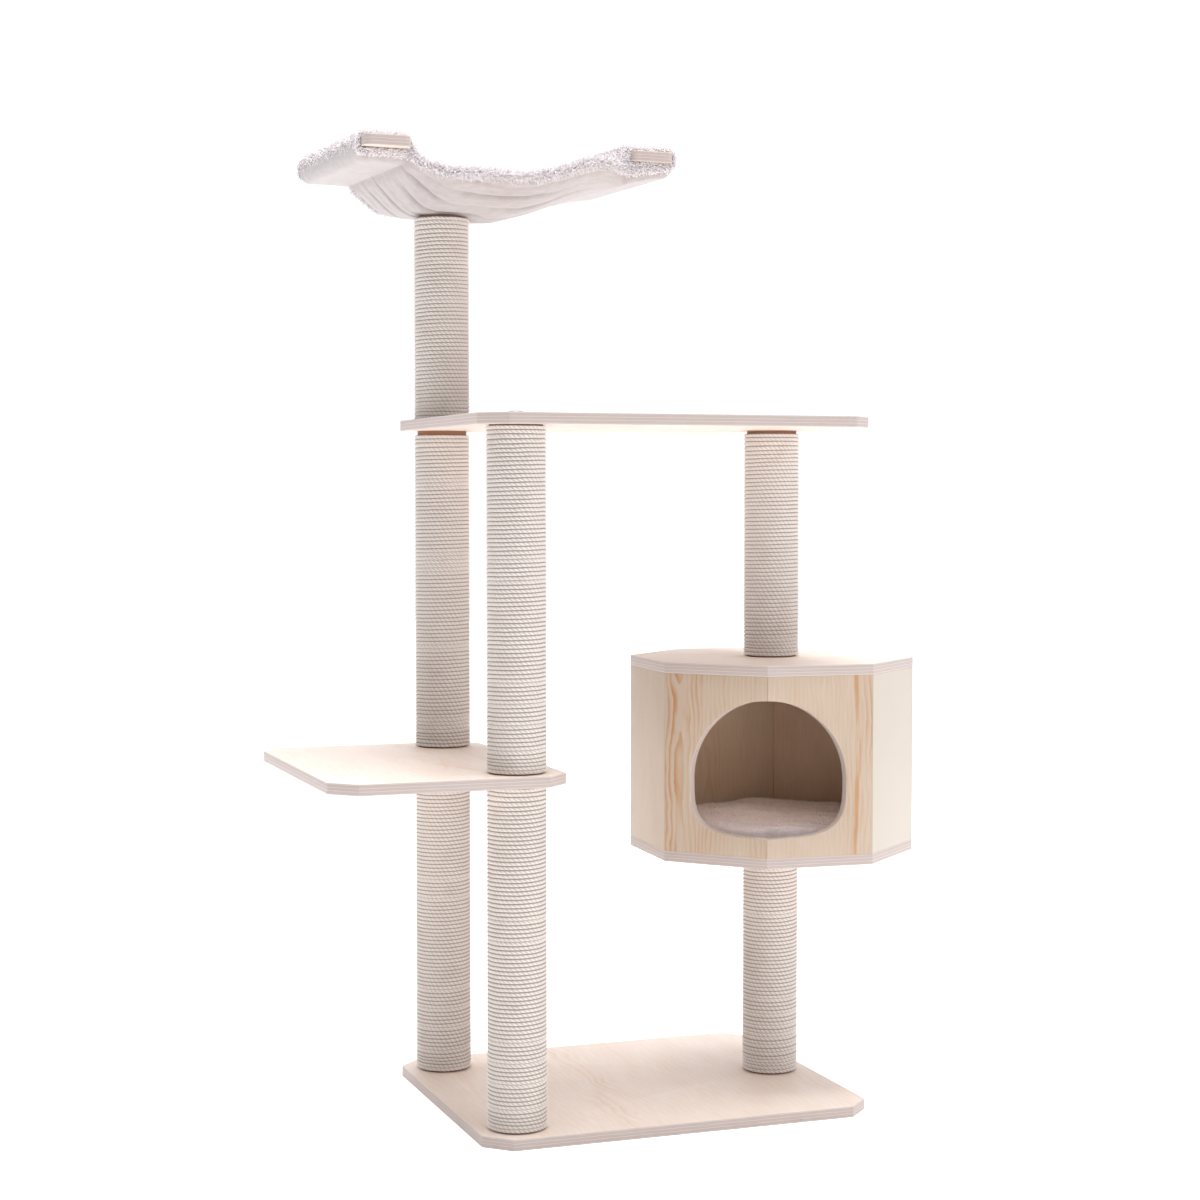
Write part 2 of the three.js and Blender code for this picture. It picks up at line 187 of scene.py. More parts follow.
# a white studio all round, darker towards the front left
def makeSky(facts):
    world = bpy.data.worlds.new("softSky")
    world.use_nodes = True
    builder = TreeBuilder(world.node_tree)
    background = world.node_tree.nodes["Background"]
    background.inputs["Color"].default_value = (*facts["skyTint"], 1)
    direction = builder.add("ShaderNodeTexCoord").outputs["Generated"]
    towards = builder.add("ShaderNodeVectorMath", {0: direction, 1: facts["dimSide"]},
                          operation="DOT_PRODUCT").outputs["Value"]
    dim = builder.clamped(towards, 0.05, 0.9)
    loss = facts["dimStrength"] - facts["skyStrength"]
    strength = builder.calc("MULTIPLY_ADD", dim, loss, facts["skyStrength"])
    world.node_tree.links.new(strength, background.inputs["Strength"])
    scene.world = world


def makeFloor(facts):
    built = bmesh.new()
    bmesh.ops.create_circle(built, cap_ends=True, segments=96, radius=facts["floorRadius"])
    mesh = bpy.data.meshes.new("paleFloor")
    built.to_mesh(mesh)
    built.free()
    floor = addToScene("paleFloor", mesh)
    material, shader, builder = newMaterial("floorPaper", 0.9)
    place = builder.add("ShaderNodeTexCoord").outputs["Object"]
    cloud = builder.noise(place, 1.5)
    low = linear(*[c - 2 for c in facts["floorTint"]])
    connect(builder, shader, builder.mix(cloud, low, linear(*facts["floorTint"])))
    shader.inputs["Emission Color"].default_value = (1, 1, 1, 1)
    seen = builder.add("ShaderNodeLightPath").outputs["Is Camera Ray"]
    glow = builder.calc("MULTIPLY_ADD", seen, facts["seenGlow"], facts["floorGlow"])
    builder.tree.links.new(glow, shader.inputs["Emission Strength"])
    mesh.materials.append(material)


makeSky(studio)
makeFloor(studio)

# plywood: faces of veneer, edges of thin crossed layers. The grain attribute holds metres along and across
# the grain and the share of the board's thickness; the figure attribute holds how strong the orange
# figure is, the distance to a resin streak and how grey the veneer is.
birch = {
    "pale": (230, 216, 206),
    "deep": (219, 201, 187),
    "orange": (212, 174, 142),
    "ringSpacing": 0.011,
    "pithDepth": 0.035,
    "roughness": 0.52,
}
pine = {
    "pale": (199, 180, 162),
    "deep": (187, 165, 143),
    "orange": (184, 134, 88),
    "ringSpacing": 0.0075,
    "pithDepth": 0.012,
    "roughness": 0.48,
}
greyVeneer = (200, 189, 176)
plyEdge = {
    "pale": (206, 192, 186),
    "deep": (182, 165, 157),
    "line": (112, 86, 74),
    # painted shade inside small gaps in the core veneers
    "gapShade": (78, 52, 38),
    "plies": 7,
}


def veneerColour(builder, facts, grain):
    calc, times = builder.calc, builder.times
    across = builder.split(grain)[1]
    strength, fromStreak, greyness = builder.split(builder.attribute("figure", "Vector"))
    # growth rings as the board's face cuts them: arches near the pith, straight lines away from it
    sway = builder.noise(builder.stretched(grain, (4.2, 6.0, 0.0)), 1.0, 2.0)
    depth = calc("MULTIPLY_ADD", sway, 3.2 * facts["pithDepth"], -0.9 * facts["pithDepth"])
    squares = calc("ADD", times(depth, depth), times(across, across))
    waver = builder.noise(builder.stretched(grain, (11.0, 26.0, 0.0)), 1.0, 3.0)
    rings = calc("DIVIDE", calc("SQRT", squares), facts["ringSpacing"])
    rings = calc("MULTIPLY_ADD", waver, 2.6, rings)
    phase = calc("FRACT", rings)
    rise = builder.clamped(phase, 0.25, 0.9)
    fall = builder.clamped(phase, 1.0, 0.93)
    late = times(rise, fall)
    patches = builder.noise(builder.stretched(grain, (7.0, 24.0, 0.0)), 1.0, 2.0)
    patchy = builder.clamped(patches, 0.36, 0.68)
    nearPith = builder.clamped(calc("ABSOLUTE", across), 0.05, 0.012)
    strength = times(strength, calc("MULTIPLY_ADD", nearPith, 0.6, 0.4))
    strength = times(strength, calc("MULTIPLY_ADD", patchy, 0.8, 0.25))
    fibre = builder.noise(builder.stretched(grain, (22.0, 900.0, 0.0)), 1.0, 3.0, 0.65)
    colour = builder.mix(builder.clamped(fibre, 0.25, 0.8), linear(*facts["pale"]), linear(*facts["deep"]))
    colour = builder.mix(times(patchy, 0.35), colour, linear(*facts["deep"]))
    colour = builder.mix(times(late, strength), colour, linear(*facts["orange"]))
    # one resin streak with soft sides, broken along its length
    drift = builder.noise(builder.stretched(grain, (7.0, 0.0, 0.0)), 1.0, 2.0)
    offset = calc("ABSOLUTE", calc("MULTIPLY_ADD", drift, 0.02, fromStreak))
    streak = builder.clamped(offset, 0.0055, 0.0015)
    broken = builder.clamped(builder.noise(builder.stretched(grain, (12.0, 120.0, 0.0)), 1.0), 0.25, 0.6)
    streak = times(streak, times(broken, 0.85))
    colour = builder.mix(streak, colour, linear(*facts["orange"]))
    return builder.mix(greyness, colour, linear(*greyVeneer)), fibre


def edgeColour(builder, facts, grain):
    calc, times = builder.calc, builder.times
    along, across, depth = builder.split(grain)
    layer = times(depth, facts["plies"])
    run = calc("ADD", along, across)
    wave = builder.noise(builder.join(times(run, 14.0), layer, 0.0), 1.0, 2.0)
    layer = calc("ADD", layer, calc("MULTIPLY_ADD", wave, 0.34, -0.17))
    phase = calc("FRACT", layer)
    crossed = calc("MODULO", calc("FLOOR", layer), 2.0)
    fine = builder.join(times(run, 700.0), times(depth, 30.0), 0.0)
    specks = builder.noise(fine, 1.0, 2.0, 0.7)
    tone = calc("MULTIPLY_ADD", crossed, 0.45, times(specks, 0.4))
    colour = builder.mix(tone, linear(*facts["pale"]), linear(*facts["deep"]))
    away = calc("ABSOLUTE", calc("SUBTRACT", phase, 0.5))
    glue = builder.clamped(away, 0.40, 0.495)
    thin = builder.noise(builder.join(times(run, 25.0), calc("FLOOR", layer), 0.0), 1.0, 1.0)
    glue = times(glue, calc("MULTIPLY_ADD", thin, 1.1, 0.05))
    colour = builder.mix(glue, colour, linear(*facts["line"]))
    # painted shade: dark spots near the glue lines stand in for the shade inside small gaps in the core
    spot = builder.join(times(run, 34.0), times(calc("FLOOR", layer), 7.3), 0.0)
    gaps = builder.noise(spot, 1.0)
    gap = times(builder.clamped(gaps, 0.74, 0.79), builder.clamped(away, 0.25, 0.4))
    return builder.mix(gap, colour, linear(*facts["gapShade"])), glue


def woodMaterial(name, facts):
    material, shader, builder = newMaterial(name, facts["roughness"])
    grain = builder.attribute("grain", "Vector")
    face, fibre = veneerColour(builder, facts, grain)
    edge, glue = edgeColour(builder, plyEdge, grain)
    onEdge = builder.clamped(builder.attribute("onEdge"), 0.35, 0.8)
    height = builder.calc("SUBTRACT", fibre, builder.times(glue, onEdge))
    connect(builder, shader, builder.mix(onEdge, face, edge), builder.bump(height, 0.25, 0.0003))
    shader.inputs["Specular IOR Level"].default_value = 0.35
    return material


birchPly = woodMaterial("birchPly", birch)
pinePly = woodMaterial("pinePly", pine)


# a CAD node's triangles merged into flat faces, with its sharp edges eased
def easedCopy(node, easing):
    built = bmesh.new()
    built.from_mesh(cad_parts[node].data)
    bmesh.ops.remove_doubles(built, verts=built.verts, dist=1e-5)
    bmesh.ops.dissolve_limit(built, angle_limit=math.radians(1), verts=built.verts, edges=built.edges)
    sharp = [e for e in built.edges if len(e.link_faces) == 2 and e.calc_face_angle(0) > math.radians(35)]
    bmesh.ops.bevel(built, geom=sharp, offset=easing, segments=3, profile=0.5, affect="EDGES",
                    clamp_overlap=True)
    mesh = bpy.data.meshes.new(node)
    built.to_mesh(mesh)
    built.free()
    mesh.shade_smooth()
    mesh.set_sharp_from_angle(angle=math.radians(28))
    return mesh


def setPoints(mesh, name, values):
    kind = "FLOAT_VECTOR" if values.ndim == 2 else "FLOAT"
    layer = mesh.attributes.new(name, kind, "POINT")
    layer.data.foreach_set("vector" if values.ndim == 2 else "value", values.astype(np.float32).ravel())


def pointsOf(mesh):
    points = np.empty(len(mesh.vertices) * 3)
    mesh.vertices.foreach_get("co", points)
    return points.reshape(-1, 3)


# stores the grain, figure and onEdge attributes that the wood materials read
def markGrain(mesh, centre, along, through, facts):
    along, through = Vector(along).normalized(), Vector(through).normalized()
    across = through.cross(along)
    offsets = pointsOf(mesh) - np.array(centre)
    run, side, depth = offsets @ np.array(along), offsets @ np.array(across), offsets @ np.array(through)
    thickness = depth.max() - depth.min()
    share = (depth - depth.min()) / thickness
    side = side - facts.get("pith", 0.0)
    setPoints(mesh, "grain", np.column_stack([run + facts.get("shift", 0.0), side, share]))
    streak = side + facts.get("pith", 0.0) - facts.get("streak", 9.0)
    strength = np.full(len(run), facts.get("strength", 0.3))
    grey = np.full(len(run), facts.get("grey", 0.0))
    setPoints(mesh, "figure", np.column_stack([strength, streak, grey]))
    normals = np.empty(len(mesh.polygons) * 3)
    mesh.polygons.foreach_get("normal", normals)
    onEdge = 1 - np.abs(normals.reshape(-1, 3) @ np.array(through))
    layer = mesh.attributes.new("onEdge", "FLOAT", "FACE")
    layer.data.foreach_set("value", onEdge.astype(np.float32))


def woodPiece(node, name, material, body, centre, along, through, facts):
    mesh = easedCopy(node, facts.get("easing", 0.0009))
    markGrain(mesh, centre, along, through, facts)
    mesh.materials.append(material)
    piece = addToScene(name, mesh)
    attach(piece, body)
    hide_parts(node)
    return piece


def middle(node):
    low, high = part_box(node)
    return (low + high) / 2


boardFacts = {
    "base_board": {"pith": 0.06, "strength": 0.42, "shift": 0.0},
    "perch_board": {"pith": -0.05, "strength": 0.36, "shift": 1.7},
    "top_board": {"pith": 0.09, "strength": 0.3, "shift": 3.1},
}
cabinFacts = {
    "turn": -3.0,  # degrees about its post
    "sides": ["right", "back_right", "back", "back_left", "left", "front_left", "front", "front_right"],
    "panels": {
        "front_left": {"pith": 0.062, "strength": 1.0, "shift": 5.3},
        "front": {"pith": -0.11, "strength": 0.75, "shift": 7.9, "streak": -0.052},
        "front_right": {"pith": 0.02, "strength": 0.45, "shift": 9.1, "grey": 0.9},
        "left": {"pith": 0.3, "strength": 0.12, "shift": 11.3},
    },
}


def makeBoards():
    for node, facts in boardFacts.items():
        woodPiece(node, node.replace("_", "-") + "-ply", birchPly, "frame", middle(node),
                  (0, 1, 0), (0, 0, 1), facts)


def makeCabin(facts):
    turn = math.radians(facts["turn"])
    for part, shift in (("floor", 13.7), ("roof", 15.1)):
        node = f"cabin_{part}"
        grain = (math.cos(turn), math.sin(turn), 0)
        woodPiece(node, f"cabin-{part}-ply", birchPly, "frame", middle(node), grain,
                  (0, 0, 1), {"pith": 0.05, "strength": 0.35, "shift": shift})
    for step, side in enumerate(facts["sides"]):
        node = f"cabin_wall_{side}"
        angle = turn + step * math.pi / 4
        outward = (math.cos(angle), math.sin(angle), 0)
        plain = {"pith": 0.04 * (step - 3), "strength": 0.3, "shift": 20.0 + step}
        panel = facts["panels"].get(side, plain)
        woodPiece(node, f"cabin-wall-{side.replace('_', '-')}", pinePly, "frame",
                  middle(node), (0, 0, 1), outward, {"easing": 0.0006, **panel})


makeBoards()
makeCabin(cabinFacts)
print("boards and cabin made")

# steel, paper tube and plug wood on the CAD's own pieces
metal = {"tint": (196, 198, 202), "roughness": 0.32}
paper = {"tint": (168, 120, 92), "deep": (132, 88, 64)}
plugWood = {"tint": (206, 174, 132), "deep": (176, 140, 100)}


def steelMaterial(facts):
    material, shader, builder = newMaterial("zincSteel", facts["roughness"], 1.0)
    place = builder.add("ShaderNodeTexCoord").outputs["Object"]
    cloud = builder.noise(place, 180.0, 3.0)
    colour = builder.mix(cloud, linear(*[c - 26 for c in facts["tint"]]), linear(*facts["tint"]))
    connect(builder, shader, colour, builder.bump(builder.noise(place, 900.0), 0.15, 0.0002))
    return material


def paperMaterial(facts):
    material, shader, builder = newMaterial("paperTube", 0.85)
    place = builder.add("ShaderNodeTexCoord").outputs["Object"]
    fibres = builder.noise(builder.stretched(place, (400.0, 400.0, 1500.0)), 1.0, 3.0)
    connect(builder, shader, builder.mix(fibres, linear(*facts["deep"]), linear(*facts["tint"])),
            builder.bump(fibres, 0.3, 0.0003))
    return material


def finishCadPieces():
    steel, tube = steelMaterial(metal), paperMaterial(paper)
    plugs, shader, builder = newMaterial("plugWood", 0.8)
    place = builder.add("ShaderNodeTexCoord").outputs["Object"]
    rings = builder.noise(builder.stretched(place, (120.0, 900.0, 900.0)), 1.0, 3.0)
    connect(builder, shader, builder.mix(rings, linear(*plugWood["deep"]), linear(*plugWood["tint"])))
    starts = {"tube_": tube, "plug_": plugs, "bolt_": steel, "stud_": steel, "screw_": steel,
              "hammock_strap": steel}
    for name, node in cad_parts.items():
        for start, material in starts.items():
            if name.startswith(start):
                node.data.materials.clear()
                node.data.materials.append(material)


finishCadPieces()
print("steel, tubes and plugs finished")

# sisal rope: one long rope wound round each tube from foot to head
rope = {
    "pitch": 0.0063,
    "lay": 0.0215,  # length of one turn of the strands
    "columns": 232,
    "rowsPerTurn": 5,
    "strandDepth": 0.66,
    "topGaps": {"a_middle": 0.005, "c_upper": 0.003},
    "levelTurns": 2.0,  # the first and last turns lie level and climb only at the back
    "roughness": 0.88,
    "crest": (242, 235, 230),
    "body": (228, 218, 211),
    # painted shade for the gaps between strands and the valleys between turns
    "grooveShade": (138, 120, 108),
    "stain": (206, 191, 176),
    "strayLength": 0.0065,
    "strays": {"density": 2600, "width": 0.00011, "spread": 1.2, "comb": (0.0, 0.0, 0.0)},
}
posts = ["a_lower", "a_middle", "a_upper", "b_lower", "b_upper", "c_lower", "c_upper"]


def addInput(tree, name, kind, value=None):
    socket = tree.interface.new_socket(name=name, in_out="INPUT", socket_type=kind)
    if value is not None:
        socket.default_value = value
    return socket.identifier


def newGeometryTree(name):
    tree = bpy.data.node_groups.new(name, "GeometryNodeTree")
    tree.interface.new_socket(name="Geometry", in_out="INPUT", socket_type="NodeSocketGeometry")
    tree.interface.new_socket(name="Geometry", in_out="OUTPUT", socket_type="NodeSocketGeometry")
    return tree


def finishTree(builder, geometry, material):
    realized = builder.add("GeometryNodeRealizeInstances", {"Geometry": geometry}).outputs[0]
    inputs = {"Geometry": realized, "Material": material}
    painted = builder.add("GeometryNodeSetMaterial", inputs).outputs[0]
    builder.add("NodeGroupOutput", {"Geometry": painted})


# runs a geometry tree on a mesh and keeps the result as a plain mesh
def grown(name, tree, settings, startMesh=None):
    start = startMesh or bpy.data.meshes.new(name + "-start")
    holder = addToScene(name + "-holder", start)
    modifier = holder.modifiers.new("grow", "NODES")
    modifier.node_group = tree
    for identifier, value in settings.items():
        modifier[identifier] = value
    view = bpy.context.evaluated_depsgraph_get()
    mesh = bpy.data.meshes.new_from_object(holder.evaluated_get(view), depsgraph=view)
    mesh.name = name
    bpy.data.objects.remove(holder)
    return mesh


def storeField(builder, geometry, name, kind, domain, value):
    inputs = {"Geometry": geometry, "Name": name, "Value": value}
    return builder.add("GeometryNodeStoreNamedAttribute", inputs, data_type=kind, domain=domain).outputs[0]


# hairs scattered over a mesh: bent three-sided spikes as long as the mesh's pile attribute says
def pileTree():
    tree = newGeometryTree("pile")
    source = tree.interface.items_tree[0]
    ids = {
        "density": addInput(tree, "Density", "NodeSocketFloat", 1000.0),
        "width": addInput(tree, "Hair Width", "NodeSocketFloat", 0.0006),
        "spread": addInput(tree, "Spread", "NodeSocketFloat", 0.5),
        "comb": addInput(tree, "Comb", "NodeSocketVector"),
        "seed": addInput(tree, "Seed", "NodeSocketInt", 1),
        "material": addInput(tree, "Material", "NodeSocketMaterial"),
    }
    builder = TreeBuilder(tree)
    calc, times = builder.calc, builder.times
    given = builder.add("NodeGroupInput").outputs
    length = builder.add("GeometryNodeInputNamedAttribute", {"Name": "pile"}, data_type="FLOAT").outputs[0]
    grows = calc("GREATER_THAN", length, 0.0004)
    density = times(given["Density"], grows)
    scattered = builder.add("GeometryNodeDistributePointsOnFaces", {
        "Mesh": given[source.name], "Density": density, "Seed": given["Seed"]}).outputs
    spike = builder.add("GeometryNodeMeshCone", {
        "Vertices": 3, "Side Segments": 2, "Radius Top": 0.0, "Radius Bottom": 1.0,
        "Depth": 1.0}).outputs[0]
    up = builder.split(builder.add("GeometryNodeInputPosition").outputs[0])[2]
    bend = times(times(up, up), 0.45)
    # the width scales x afterwards, so the bend is divided by it here
    sideways = calc("DIVIDE", times(bend, 0.008), given["Hair Width"])
    bent = builder.add("GeometryNodeSetPosition", {
        "Geometry": spike, "Offset": builder.join(sideways, 0.0, 0.0)}).outputs[0]
    bent = storeField(builder, bent, "tip", "FLOAT", "POINT", up)

    def randomly(kind, low, high, step):
        node = builder.add("FunctionNodeRandomValue", data_type=kind)
        at = 0 if kind == "FLOAT_VECTOR" else 2
        for key, value in ((at, low), (at + 1, high)):
            if isinstance(value, bpy.types.NodeSocket):
                tree.links.new(value, node.inputs[key])
            else:
                node.inputs[key].default_value = value
        tree.links.new(calc("ADD", given["Seed"], step), node.inputs["Seed"])
        return node.outputs[0 if kind == "FLOAT_VECTOR" else 1]

    spread = given["Spread"]
    other = times(spread, -1.0)
    lean = randomly("FLOAT_VECTOR", builder.join(other, other, 0.0),
                    builder.join(spread, spread, 6.28), 11.0)
    leaning = builder.add("FunctionNodeEulerToRotation", {0: lean}).outputs[0]
    combed = builder.add("ShaderNodeVectorMath", {0: scattered["Normal"], 1: given["Comb"]}).outputs[0]
    upright = builder.add("FunctionNodeAlignRotationToVector", {"Vector": combed}, axis="Z").outputs[0]
    turned = builder.add("FunctionNodeRotateRotation", {0: upright, 1: leaning},
                         rotation_space="LOCAL").outputs[0]
    longer = times(length, randomly("FLOAT", 0.55, 1.1, 23.0))
    wider = times(given["Hair Width"], randomly("FLOAT", 0.7, 1.2, 37.0))
    hairs = builder.add("GeometryNodeInstanceOnPoints", {
        "Points": scattered["Points"], "Instance": bent, "Rotation": turned,
        "Scale": builder.join(wider, wider, longer)}).outputs[0]
    hairs = storeField(builder, hairs, "tuft", "FLOAT", "INSTANCE", randomly("FLOAT", 0.0, 1.0, 51.0))
    finishTree(builder, hairs, given["Material"])
    return tree, ids


def growPile(name, mesh, facts, material):
    settings = {pileIds[key]: facts[key] for key in ("width", "spread", "comb", "seed")}
    settings[pileIds["density"]] = float(facts["density"])
    settings[pileIds["material"]] = material
    return grown(name, pileGroup, settings, mesh)


pileGroup, pileIds = pileTree()


def joined(name, meshes):
    holders = [addToScene(f"{name}-{number}", mesh) for number, mesh in enumerate(meshes)]
    with bpy.context.temp_override(active_object=holders[0], selected_editable_objects=holders):
        bpy.ops.object.join()
    holders[0].name = name
    return holders[0]


def ropeTree(facts):
    tree = newGeometryTree("ropeWinding")
    ids = {
        "radius": addInput(tree, "Tube Radius", "NodeSocketFloat", 0.04),
        "thickness": addInput(tree, "Rope Diameter", "NodeSocketFloat", 0.0055),
        "bottom": addInput(tree, "Bottom", "NodeSocketFloat", 0.0),
        "pitch": addInput(tree, "Pitch", "NodeSocketFloat", facts["pitch"]),
        "turns": addInput(tree, "Turns", "NodeSocketInt", 20),
        "centre": addInput(tree, "Centre", "NodeSocketVector"),
        "seed": addInput(tree, "Seed", "NodeSocketFloat", 0.0),
        "material": addInput(tree, "Material", "NodeSocketMaterial"),
    }
    builder = TreeBuilder(tree)
    calc, times = builder.calc, builder.times
    given = builder.add("NodeGroupInput").outputs
    half = times(given["Rope Diameter"], 0.5)
    rows = times(given["Turns"], facts["rowsPerTurn"])
    grid = builder.add("GeometryNodeMeshGrid", {
        "Size X": 1.0, "Size Y": 1.0, "Vertices X": facts["columns"] + 1,
        "Vertices Y": calc("ADD", rows, 2.0)}).outputs["Mesh"]
    place = builder.split(builder.add("GeometryNodeInputPosition").outputs[0])
    around = calc("ADD", place[0], 0.5)
    row = calc("ROUND", times(calc("ADD", place[1], 0.5), calc("ADD", rows, 1.0)))
    # the last row closes the winding's inner wall back to its first row
    wraps = calc("GREATER_THAN", row, calc("ADD", rows, 0.5))
    row = times(row, calc("SUBTRACT", 1.0, wraps))
    inner = calc("MAXIMUM", calc("LESS_THAN", row, 0.5),
                 calc("GREATER_THAN", row, calc("SUBTRACT", rows, 0.5)))
    level = calc("DIVIDE", row, facts["rowsPerTurn"])
    faceLevel = builder.add("GeometryNodeFieldOnDomain", {0: level}, domain="FACE").outputs[0]
    turn = calc("FLOOR", calc("ADD", level, 0.001))
    share = calc("SUBTRACT", level, turn)

    def crown(part):  # 0 in the valley between two turns, 1 on the rope's crest
        arm = calc("MULTIPLY_ADD", part, 2.0, -1.0)
        return calc("SQRT", calc("MAXIMUM", calc("SUBTRACT", 1.0, times(arm, arm)), 0.0))

    def strandAngle(part, run):  # grows by pi from one strand to the next
        section = calc("ARCCOSINE", calc("SUBTRACT", 1.0, times(part, 2.0)))
        twist = times(run, 2 * math.pi / facts["lay"])
        return times(calc("ADD", section, twist), 1.5)

    girth = times(calc("ADD", given["Tube Radius"], half), 2 * math.pi)
    run = times(calc("ADD", turn, around), girth)
    ridge = calc("ABSOLUTE", calc("COSINE", strandAngle(share, run)))
    angle = times(around, 2 * math.pi)
    fromEnd = calc("MINIMUM", level, calc("SUBTRACT", given["Turns"], level))
    lying = builder.clamped(fromEnd, facts["levelTurns"] + 2.0, facts["levelTurns"])
    sharp = builder.clamped(around, 0.05, 0.28)
    climb = calc("ADD", around, times(lying, calc("SUBTRACT", sharp, around)))
    rise = calc("MAXIMUM", calc("SUBTRACT", calc("ADD", level, climb), 1.0), 0.0)
    height = times(calc("MINIMUM", rise, given["Turns"]), given["Pitch"])
    onTube = builder.join(calc("COSINE", angle), calc("SINE", angle), times(height, 24.0))
    shift = builder.join(given["Seed"], 0.0, 0.0)
    seeded = builder.add("ShaderNodeVectorMath", {0: onTube, 1: shift}).outputs[0]
    lump = calc("SUBTRACT", builder.noise(seeded, 9.0, 3.0), 0.5)
    drift = calc("SUBTRACT", builder.noise(seeded, 2.2, 1.0), 0.5)
    relief = calc("MULTIPLY_ADD", ridge, facts["strandDepth"], 1.0 - facts["strandDepth"])
    relief = calc("ADD", relief, times(lump, 0.16))
    swell = times(half, calc("MULTIPLY_ADD", crown(share), relief, 1.0))
    # the rope's two cut ends taper into the tube
    turns = calc("ADD", turn, around)
    ends = times(builder.clamped(turns, 0.06, 0.2),
                builder.clamped(calc("SUBTRACT", given["Turns"], turns), 0.0, 0.02))
    swell = times(swell, times(ends, calc("SUBTRACT", 1.0, inner)))
    radius = calc("ADD", calc("SUBTRACT", given["Tube Radius"], 0.0002), swell)
    lift = calc("MULTIPLY_ADD", drift, 0.0011, calc("ADD", given["Bottom"], height))
    centre = builder.split(given["Centre"])
    spot = builder.join(calc("MULTIPLY_ADD", radius, calc("COSINE", angle), centre[0]),
                        calc("MULTIPLY_ADD", radius, calc("SINE", angle), centre[1]), lift)
    cornerTurn = calc("FLOOR", faceLevel)
    cornerShare = calc("SUBTRACT", level, cornerTurn)
    cornerRun = times(calc("ADD", cornerTurn, around), girth)
    strandRun = calc("DIVIDE", strandAngle(cornerShare, cornerRun), math.pi)
    strands = builder.join(cornerRun, strandRun, cornerTurn)
    shaped = storeField(builder, grid, "crest", "FLOAT", "CORNER", crown(cornerShare))
    shaped = storeField(builder, shaped, "strands", "FLOAT_VECTOR", "CORNER", strands)
    shaped = storeField(builder, shaped, "pile", "FLOAT", "POINT", facts["strayLength"])
    shaped = builder.add("GeometryNodeSetPosition", {"Geometry": shaped, "Position": spot}).outputs[0]
    shaped = builder.add("GeometryNodeMergeByDistance", {"Geometry": shaped, "Distance": 1e-6}).outputs[0]
    shaped = builder.add("GeometryNodeSetShadeSmooth", {"Geometry": shaped}).outputs[0]
    finishTree(builder, shaped, given["Material"])
    return tree, ids


def ropeMaterial(facts):
    material, shader, builder = newMaterial("sisalRope", facts["roughness"])
    calc, times = builder.calc, builder.times
    strands = builder.attribute("strands", "Vector")
    crest = builder.attribute("crest")
    run, strand, turn = builder.split(strands)
    fine = builder.join(times(run, 110.0), times(strand, 16.0), turn)
    fibres = builder.noise(fine, 1.0, 3.0, 0.7)
    edge = calc("ABSOLUTE", calc("COSINE", times(strand, math.pi)))
    place = builder.add("ShaderNodeTexCoord").outputs["Object"]
    patches = builder.clamped(builder.noise(place, 26.0, 2.0), 0.5, 0.8)
    lot = builder.noise(builder.join(calc("FLOOR", strand), turn, 0.0), 3.7)
    shine = builder.clamped(fibres, 0.3, 0.75)
    colour = builder.mix(shine, linear(*facts["body"]), linear(*facts["crest"]))
    colour = builder.mix(times(lot, 0.3), colour, linear(*facts["stain"]))
    colour = builder.mix(times(patches, 0.3), colour, linear(*facts["stain"]))
    # painted shade: this colour darkens the gaps between the strands and the valleys between the turns,
    # where shade falls
    between = times(builder.clamped(edge, 0.42, 0.0), 0.8)
    valley = times(builder.clamped(crest, 0.55, 0.0), 0.7)
    shade = calc("MAXIMUM", between, valley)
    colour = builder.mix(shade, colour, linear(*facts["grooveShade"]))
    height = calc("ADD", fibres, builder.clamped(edge, 0.0, 0.4))
    connect(builder, shader, colour, builder.bump(height, 0.55, 0.0005))
    shader.inputs["Sheen Weight"].default_value = 0.15
    return material


def fibreMaterial():
    material, shader, builder = newMaterial("sisalFibre", 0.8)
    connect(builder, shader, builder.mix(builder.attribute("tuft"), linear(214, 200, 182),
                                         linear(232, 224, 214)))
    return material


def makeRopes(facts):
    tree, ids = ropeTree(facts)
    material = ropeMaterial(facts)
    fibres = fibreMaterial()
    strays = []
    for number, post in enumerate(posts):
        low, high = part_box(f"rope_{post}")
        tubeLow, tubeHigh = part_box(f"tube_{post}")
        tubeRadius = (tubeHigh.x - tubeLow.x) / 2
        length = high.z - low.z - facts["topGaps"].get(post, 0.0)
        turns = round(length / facts["pitch"])
        settings = {
            ids["radius"]: tubeRadius,
            ids["thickness"]: (high.x - low.x) / 2 - tubeRadius,
            ids["bottom"]: low.z,
            ids["pitch"]: length / turns,
            ids["turns"]: turns,
            ids["centre"]: ((low.x + high.x) / 2, (low.y + high.y) / 2, 0.0),
            ids["seed"]: 7.3 * number,
            ids["material"]: material,
        }
        mesh = grown(f"sisal-{post.replace('_', '-')}", tree, settings)
        piece = addToScene(mesh.name, mesh)
        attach(piece, "frame")
        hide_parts(f"rope_{post}")
        print("rope", post, turns, "turns", len(mesh.polygons) * 2, "triangles")
        strays.append(growPile(f"fibres-{post}", mesh, {**facts["strays"], "seed": number}, fibres))
    loose = joined("sisal-stray-fibres", strays)
    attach(loose, "frame")


makeRopes(rope)

